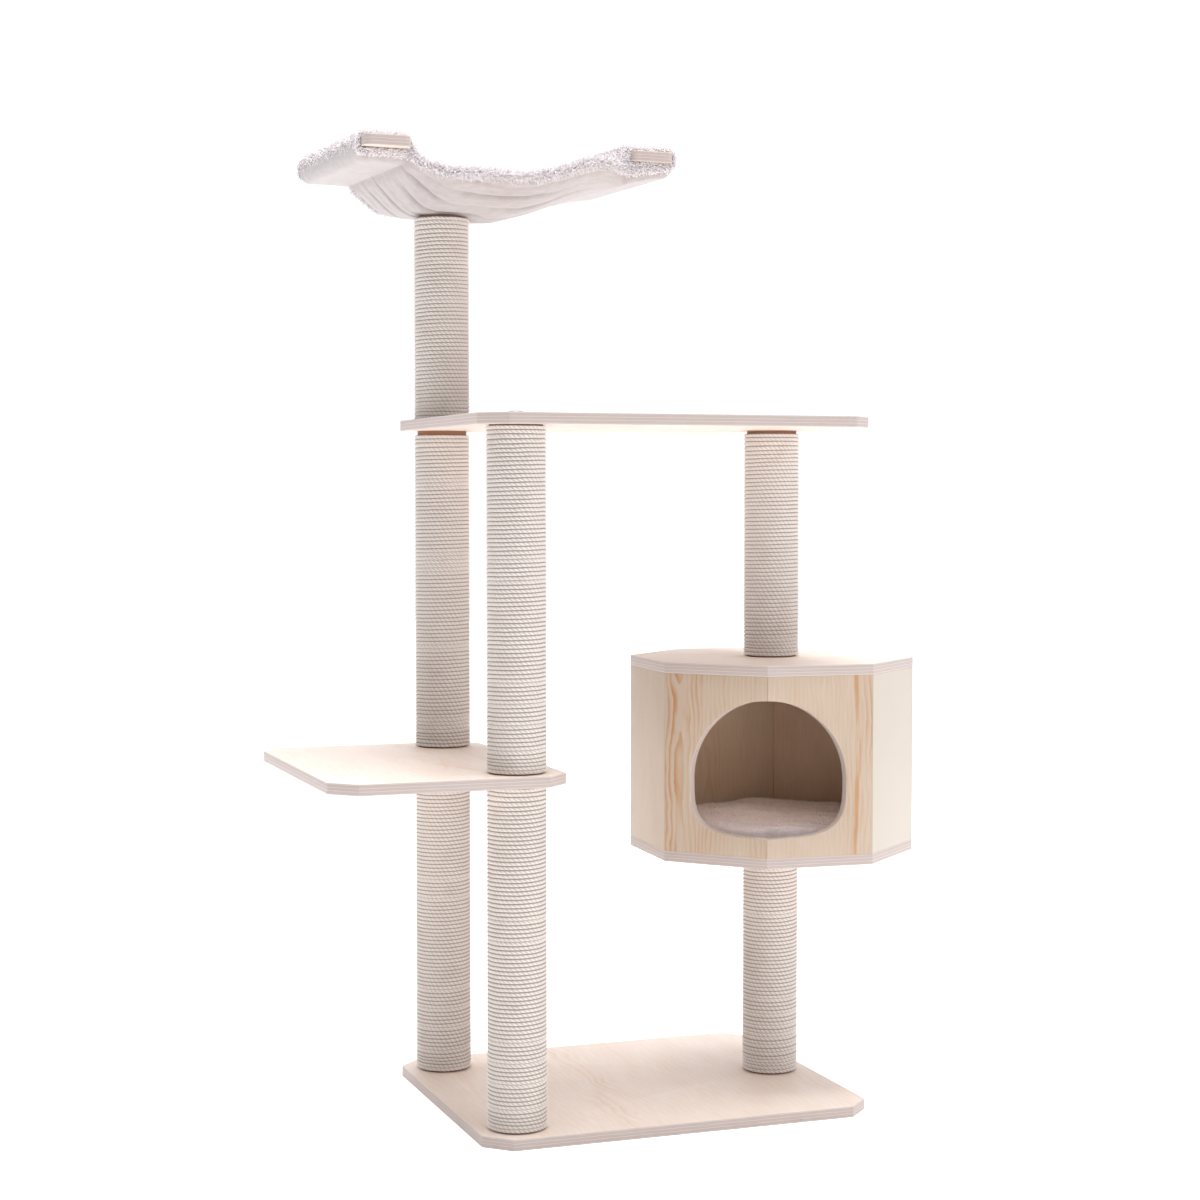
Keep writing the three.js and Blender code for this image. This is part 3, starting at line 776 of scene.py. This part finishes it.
# the hammock's plush cover: one sewn piece, velour below and long fur above, with a sleeve for each slat
hammock = {
    "cloth": 0.0145,
    "cover": 0.0065,  # over and beside each slat
    "endCover": 0.003,  # beyond the slats' ends
    "slatGap": 0.001,
    # the underside above the post: shares of the way from its axis to a slat's inner edge, millimetres up
    "belly": [(-1.85, 64), (-1.46, 65), (-1.0, 64), (-0.75, 34), (-0.6, 18), (-0.45, 6), (-0.25, 0.6),
              (0.13, -1), (0.25, -2.6), (0.38, -0.9), (0.57, 12.8), (0.76, 31.4), (0.95, 46), (1.06, 54.5),
              (1.18, 60.5), (1.32, 65)],
    "lowest": 0.066,
    "tentSlope": 0.25,  # how fast the cloth falls away round the post
    "postRadius": 0.046,
    "rimRise": (0.043, 0.024),  # the front and the back edge above the middle
    "rimFullness": (6, 3),  # how close to the slats the front and the back edge stay high
    "setBack": (0.028, 0.011),  # the bare front ends of the left and right slats
    "sleeveRuns": (0.02, 0.036),
    "lip": 0.0095,
    "sleeveLip": 0.0115,  # added to the lip round each slat
    "pocket": 0.035,  # the cloth's turn-in at each end
    "slit": 0.0012,  # half that turn's height between the slats
    "pocketSag": 0.003,
    "edgeRounding": 0.016,
    "crowding": 0.12,  # how much closer columns stand at the sleeves
    "wrap": 0.09,  # cloth round the slats, in the flat width
    "creaseSpacing": 0.038,
    "creaseDepth": 0.0085,
    "acrossSteps": 230,
    "alongSteps": 96,
    "velour": (184, 175, 173),
    "velourDeep": (164, 152, 150),
    "fur": (238, 233, 234),
    "furRoot": (222, 214, 214),
    "furLength": (0.0065, 0.011),  # on the sleeves and between them
    "fringeLength": (0.0065, 0.013),
    "topFur": {"density": 76000, "width": 0.0018, "spread": 0.6, "comb": (0.15, -0.1, 0.0), "seed": 3},
    "rimFur": {"density": 240000, "width": 0.002, "spread": 0.5, "comb": (0.3, -0.1, -0.3), "seed": 9},
}


def smoothStep(value, low, high):
    share = np.clip((value - low) / (high - low), 0, 1)
    return share * share * (3 - 2 * share)


def turnedAbout(points, axis, angle):
    offset = points - axis
    cosine, sine = math.cos(angle), math.sin(angle)
    x = cosine * offset[:, 0] - sine * offset[:, 1]
    y = sine * offset[:, 0] + cosine * offset[:, 1]
    return axis + np.column_stack([x, y, offset[:, 2]])


# where the cover's parts are, from the CAD's own slats and post, with the hammock turned square to the base
def hammockPlace(facts):
    postLow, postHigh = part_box("tube_a_upper")
    axis = np.array([(postLow.x + postHigh.x) / 2, (postLow.y + postHigh.y) / 2, 0.0])
    across = middle("hammock_slat_right") - middle("hammock_slat_left")
    turn = math.atan2(across.y, across.x)
    slats = [pointsOf(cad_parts[f"hammock_slat_{side}"].data) for side in ("left", "right")]
    left, right = [turnedAbout(slat, axis, -turn) for slat in slats]
    low, high = left.min(axis=0), left.max(axis=0)
    return types.SimpleNamespace(
        turn=turn,
        axis=axis,
        left=(low[0] + high[0]) / 2,
        right=(right[:, 0].min() + right[:, 0].max()) / 2,
        slatHalf=(high[0] - low[0]) / 2,
        slatLow=low[2],
        slatHigh=high[2],
        front=low[1] - facts["endCover"],
        back=high[1] + facts["endCover"],
        postX=axis[0],
        postY=axis[1],
        postTop=postHigh.z,
    )


# how far x is from the lowest line towards the nearer slat's inner edge, 0 to 1
def slingReach(x, place, facts):
    lowest = place.postX + facts["lowest"]
    toLeft = (lowest - x) / (lowest - place.left - place.slatHalf)
    toRight = (x - lowest) / (place.right - place.slatHalf - lowest)
    return np.clip(np.maximum(toLeft, toRight), 0, 1)


def slingUnder(x, y, place, facts):
    shares, heights = np.array(facts["belly"]).T
    toLeft = place.postX - place.left - place.slatHalf
    toRight = place.right - place.slatHalf - place.postX
    fine = np.linspace(-0.22, 0.38, 601)  # each millimetre, then smoothed
    line = np.interp(fine, shares * np.where(shares < 0, toLeft, toRight), heights / 1000)
    window = np.hanning(27)
    line = np.convolve(np.pad(line, len(window) // 2, mode="edge"), window / window.sum(), "valid")
    belly = np.interp(x - place.postX, fine, line)
    middleY = (place.front + place.back) / 2
    half = (place.back - place.front) / 2
    inFront = y < middleY
    rise = np.where(inFront, *facts["rimRise"])
    fullness = 1 - slingReach(x, place, facts) ** np.where(inFront, *facts["rimFullness"])
    rim = rise * ((y - middleY) / half) ** 2 * fullness
    # held up like a tent where it lies on the post
    fromPost = np.hypot(x - place.postX, y - place.postY) - facts["postRadius"]
    tent = 0.0005 - facts["tentSlope"] * np.maximum(fromPost, 0)
    return place.postTop + np.maximum(belly + rim, tent)


# how far the cover's front edge lies behind the slats' front ends
def frontSetBack(x, place, facts):
    nearLeft = 1 - smoothStep(x, place.left + 0.04, place.left + 0.12)
    nearRight = smoothStep(x, place.right - 0.08, place.right - 0.045)
    return facts["setBack"][0] * nearLeft + facts["setBack"][1] * nearRight


# long creases that run from slat to slat and fade over the post and at the slats
def slingCreases(x, y, place, facts):
    warp = 0.008 * np.sin(x * 15.0 + 0.6) + 0.004 * np.sin(x * 43.0 + y * 31.0)
    phase = (y + warp) / facts["creaseSpacing"] + 0.3 * np.sin(y * 23.0)
    valley = (1 - np.abs(np.sin(np.pi * phase))) ** 2.6
    depth = 0.2 + 0.8 * np.sin(y * 47.0 + x * 9.0) ** 2
    onLeft = smoothStep(x, place.left + 0.03, place.left + 0.07)
    onRight = smoothStep(x, place.right - 0.05, place.right - 0.2)
    seam = np.exp(-((x - place.left - place.slatHalf - 0.004) / 0.005) ** 2)
    return facts["creaseDepth"] * (valley * depth * onLeft * onRight + 0.6 * seam)


def coverOver(x, y, under, place, facts):
    top = under + facts["cloth"]
    sleeve = 0
    for side, run in zip(("left", "right"), facts["sleeveRuns"]):
        beside = np.abs(x - getattr(place, side)) - place.slatHalf
        sleeve = sleeve + 1 - smoothStep(beside, 0, run)
    return top + (place.slatHigh + facts["cover"] - top) * sleeve


def coverRings(place, facts):
    leftEdge, rightEdge = place.left - place.slatHalf, place.right + place.slatHalf
    ends = (leftEdge - facts["cover"], rightEdge + facts["cover"])
    spread = np.linspace(0, 1, facts["acrossSteps"])
    spread = spread - facts["crowding"] * np.sin(2 * np.pi * spread) / (2 * np.pi)
    x = ends[0] + (ends[1] - ends[0]) * spread
    front, back = place.front + frontSetBack(x, place, facts), np.full_like(x, place.back)
    nearest = np.minimum(np.abs(x - place.left), np.abs(x - place.right))
    nearSleeve = 1 - smoothStep(nearest, place.slatHalf, 2 * place.slatHalf)
    lip = facts["lip"] + facts["sleeveLip"] * nearSleeve
    # rows from the bottom of the front pocket over the lip, along the body and into the back pocket
    curl = np.linspace(np.pi / 2, 0, 10)
    lipInset, lipRise = 1 - np.cos(curl), 1 - np.sin(curl)
    rows = [(front + facts["pocket"], 1.0), (front + 0.004, 1.0)]
    rows += [(front + lip * rise, inset) for inset, rise in zip(lipInset, lipRise)]
    bodyFront, bodyBack = front + lip, back - lip
    for share in np.linspace(0, 1, facts["alongSteps"])[1:-1]:
        rows.append((bodyFront + (bodyBack - bodyFront) * share, 0.0))
    rows += [(back - lip * rise, inset) for inset, rise in zip(lipInset[::-1], lipRise[::-1])]
    rows += [(back - 0.004, 1.0), (back - facts["pocket"], 1.0)]
    edge = np.minimum(x - ends[0], ends[1] - x)
    roundness = np.sqrt(np.clip(1 - (1 - np.clip(edge / facts["edgeRounding"], 0, 1)) ** 2, 0, 1))
    inX = np.clip(x, leftEdge - facts["slatGap"], rightEdge + facts["slatGap"])
    fromSlat = np.minimum(np.abs(inX - place.left), np.abs(inX - place.right))
    nearSlat = fromSlat < place.slatHalf + 0.0012
    # room for the steel strap under the inner half of each slat
    sag = np.maximum(smoothStep(inX, place.left, place.left + 0.02) *
                     smoothStep(-inX, -place.left - 0.038, -place.left - 0.03),
                     smoothStep(-inX, -place.right + 0.01, -place.right + 0.03))
    rings = []
    for y, inset in rows:
        under = slingUnder(x, y, place, facts)
        over = coverOver(x, y, under, place, facts)
        middleZ = (under + over) / 2
        low = middleZ - (middleZ - under) * roundness + slingCreases(x, y, place, facts) * (1 - inset)
        high = middleZ + (over - middleZ) * roundness
        inLow = np.where(nearSlat, place.slatLow - facts["slatGap"] - facts["pocketSag"] * sag,
                         middleZ - facts["slit"])
        inHigh = np.where(nearSlat, place.slatHigh + facts["slatGap"], middleZ + facts["slit"])
        ringX = x + (inX - x) * inset
        lower = np.column_stack([ringX, y, low + (inLow - low) * inset])
        upper = np.column_stack([ringX, y, high + (inHigh - high) * inset])
        rings.append(np.vstack([lower, upper[::-1]]))
    return np.array(rings)


# the faces between closed rings of count points each
def ringFaces(rows, count):
    faces = []
    for row in range(rows - 1):
        for step in range(count):
            following = (step + 1) % count
            faces.append((row * count + step, row * count + following,
                          (row + 1) * count + following, (row + 1) * count + step))
    return faces


# a tube of rings whose two ends are closed between its lower and its upper half
def closedTube(name, rings):
    count = rings.shape[1]
    faces = ringFaces(len(rings), count)
    for row in (0, len(rings) - 1):
        for step in range(count // 2 - 1):
            faces.append((row * count + step, row * count + step + 1,
                          row * count + count - 2 - step, row * count + count - 1 - step))
    mesh = bpy.data.meshes.new(name)
    mesh.from_pydata(rings.reshape(-1, 3).tolist(), [], faces)
    return mesh


def tidied(mesh):
    built = bmesh.new()
    built.from_mesh(mesh)
    bmesh.ops.remove_doubles(built, verts=built.verts, dist=2e-6)
    bmesh.ops.recalc_face_normals(built, faces=built.faces)
    built.to_mesh(mesh)
    built.free()
    mesh.shade_smooth()
    return mesh


def velourMaterial(name, pale, deep):
    material, shader, builder = newMaterial(name, 0.95)
    calc, times = builder.calc, builder.times
    place = builder.add("ShaderNodeTexCoord").outputs["Object"]
    nap = builder.noise(builder.stretched(place, (500.0, 900.0, 900.0)), 1.0, 3.0, 0.7)
    brushed = builder.noise(builder.stretched(place, (55.0, 110.0, 110.0)), 1.0, 2.0)
    shade = calc("MULTIPLY_ADD", brushed, 0.5, times(nap, 0.5))
    colour = builder.mix(builder.clamped(shade, 0.25, 0.7), linear(*deep), linear(*pale))
    # painted shade: the velour darkens in the sling's creases and along its seam, where the fold attribute
    # is high
    creaseShade = tuple(0.7 * part for part in linear(*deep))
    colour = builder.mix(times(builder.attribute("fold"), 0.6), colour, creaseShade)
    height = calc("MULTIPLY_ADD", brushed, 1.2, nap)
    connect(builder, shader, colour, builder.bump(height, 0.4, 0.0008))
    shader.inputs["Sheen Weight"].default_value = 0.35
    shader.inputs["Sheen Roughness"].default_value = 0.6
    return material


def furMaterial(name, tip, root):
    material, shader, builder = newMaterial(name, 0.9)
    along = builder.attribute("tip")
    tuft = builder.attribute("tuft")
    colour = builder.mix(builder.clamped(along, -0.1, 0.8), linear(*root), linear(*tip))
    colour = builder.mix(builder.times(tuft, 0.4), colour, linear(*root))
    connect(builder, shader, colour)
    shader.inputs["Sheen Weight"].default_value = 0.3
    return material


def makeHammock(facts):
    place = hammockPlace(facts)
    mesh = tidied(closedTube("hammock-cover", coverRings(place, facts)))
    points = pointsOf(mesh)
    x, y, z = points.T
    under = slingUnder(x, y, place, facts)
    over = coverOver(x, y, under, place, facts)
    height = (z - under) / (over - under)
    intoFront = y - place.front - frontSetBack(x, place, facts)
    intoBack = place.back - y
    nearRim = 1 - smoothStep(np.minimum(intoFront, intoBack), 0.003, 0.014)
    inSling = smoothStep(x, place.left + 0.03, place.left + 0.06)
    inSling = inSling * smoothStep(x, place.right - 0.03, place.right - 0.06)
    top = smoothStep(height, 0.62, 0.85)
    rim = nearRim * smoothStep(height, 0.12, 0.4)
    short, long = facts["furLength"]
    pile = top * (short + (long - short) * inSling)
    inside = (intoFront > 0.002) & (intoBack > 0.002) & (height > 0.08) & (height < 0.62) & (nearRim < 0.5)
    pile = np.where(inside, 0.0, pile)
    setPoints(mesh, "pile", np.where(pile < 0.0012, 0.0, pile))
    # the crease and seam depths are stored as fold, which the velour paints as shade in the creases
    creases = slingCreases(x, y, place, facts) / facts["creaseDepth"]
    setPoints(mesh, "fold", np.where(height < 0.6, creases, 0.0))
    mesh.vertices.foreach_set("co", turnedAbout(points, place.axis, place.turn).ravel())
    mesh.update()
    velour = velourMaterial("creamVelour", facts["velour"], facts["velourDeep"])
    mesh.materials.append(velour)
    cover = addToScene("hammock-cover", mesh)
    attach(cover, "hammock")
    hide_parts("hammock_sling")
    fur = furMaterial("creamFur", facts["fur"], facts["furRoot"])
    hair = addToScene("hammock-fur", growPile("hammock-fur", mesh, facts["topFur"], fur))
    short, long = facts["fringeLength"]
    fringePile = np.where(inside, 0.0, rim * (short + (long - short) * inSling))
    mesh.attributes["pile"].data.foreach_set("value", fringePile.astype(np.float32))
    fringe = addToScene("hammock-fringe", growPile("hammock-fringe", mesh, facts["rimFur"], fur))
    for tufts in (hair, fringe):
        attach(tufts, "hammock")
    grain = (-math.sin(place.turn), math.cos(place.turn), 0)
    for side in ("left", "right"):
        node = f"hammock_slat_{side}"
        look = {"easing": 0.0022, "pith": 0.1, "strength": 0.3, "shift": 30.0 + len(side)}
        woodPiece(node, f"hammock-slat-{side}", birchPly, "hammock", middle(node), grain,
                  (0, 0, 1), look)
    print("hammock", len(mesh.polygons) * 2, "cover triangles,", len(hair.data.polygons), "fur faces,",
          len(fringe.data.polygons), "fringe faces")


makeHammock(hammock)

# the loose plush mat on the cabin's floor
mat = {
    "floorGap": 0.0003,
    "boltBump": 0.0042,  # the underside's rise over the floor's middle bolt
    "rounding": 0.014,
    "cornerRadius": 0.02,
    "wave": 0.0032,
    "rings": 40,
    "steps": 192,
    "pale": (224, 211, 208),
    "deep": (198, 183, 181),
    "fur": (246, 236, 235),
    "furRoot": (226, 213, 211),
    "nap": {"density": 136000, "width": 0.00045, "spread": 0.5, "comb": (0.0, 0.0, 0.0), "seed": 17},
    "napLength": 0.0032,
}


def makeMat(facts):
    low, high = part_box("cabin_mat")
    centre = (low + high) / 2
    angles = np.linspace(0, 2 * np.pi, facts["steps"], endpoint=False)
    turn = math.radians(cabinFacts["turn"])
    # the CAD slab is an octagon, so its flats follow from its box at this turn
    cornerReach = (high.x - low.x) / 2 / math.cos(math.pi / 8 - abs(turn))
    apothem = cornerReach * math.cos(math.pi / 8) - facts["rounding"] / 2
    fromFlat = (angles - turn + np.pi / 8) % (np.pi / 4) - np.pi / 8
    corner = 1 / np.cos(fromFlat) - facts["cornerRadius"] * np.abs(fromFlat / (np.pi / 8)) ** 4 / apothem
    outline = apothem * corner
    shares = np.linspace(0, 1, facts["rings"]) ** 0.8
    levels = [(share, 1) for share in shares] + [(share, -1) for share in shares[::-1]]
    halfThick = (high.z - low.z) / 2
    rings = []
    for share, side in levels:
        x = centre.x + outline * share * np.cos(angles)
        y = centre.y + outline * share * np.sin(angles)
        inward = (1 - share) * apothem
        fold = np.sqrt(np.clip(1 - (1 - np.clip(inward / facts["rounding"], 0, 1)) ** 2, 0, 1))
        waves = np.sin(x * 31 + 1.3) * np.sin(y * 27 + 0.4) + 0.4 * np.sin(x * 83 + y * 57)
        waves = facts["wave"] * (waves + 0.3 * np.sin(y * 140 + 3 * np.sin(x * 20)) * (1 - share))
        bump = facts["boltBump"] * np.exp(-((share * apothem) / 0.02) ** 2)
        level = low.z + facts["floorGap"] + halfThick + side * halfThick * fold
        z = level + (waves * fold + 0.4 * bump if side > 0 else np.full_like(x, bump))
        rings.append(np.column_stack([x, y, z]))
    mesh = bpy.data.meshes.new("cabin-mat-plush")
    mesh.from_pydata(np.vstack(rings).tolist(), [], ringFaces(len(rings), facts["steps"]))
    tidied(mesh)
    z = pointsOf(mesh)[:, 2]
    setPoints(mesh, "pile", np.where(z > (low.z + high.z) / 2, facts["napLength"], 0.0))
    mesh.materials.append(velourMaterial("matPlush", facts["pale"], facts["deep"]))
    piece = addToScene("cabin-mat-plush", mesh)
    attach(piece, "mat")
    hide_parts("cabin_mat")
    fur = furMaterial("matFur", facts["fur"], facts["furRoot"])
    nap = addToScene("cabin-mat-nap", growPile("cabin-mat-nap", mesh, facts["nap"], fur))
    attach(nap, "mat")
    print("mat", len(nap.data.polygons), "hair faces")


makeMat(mat)
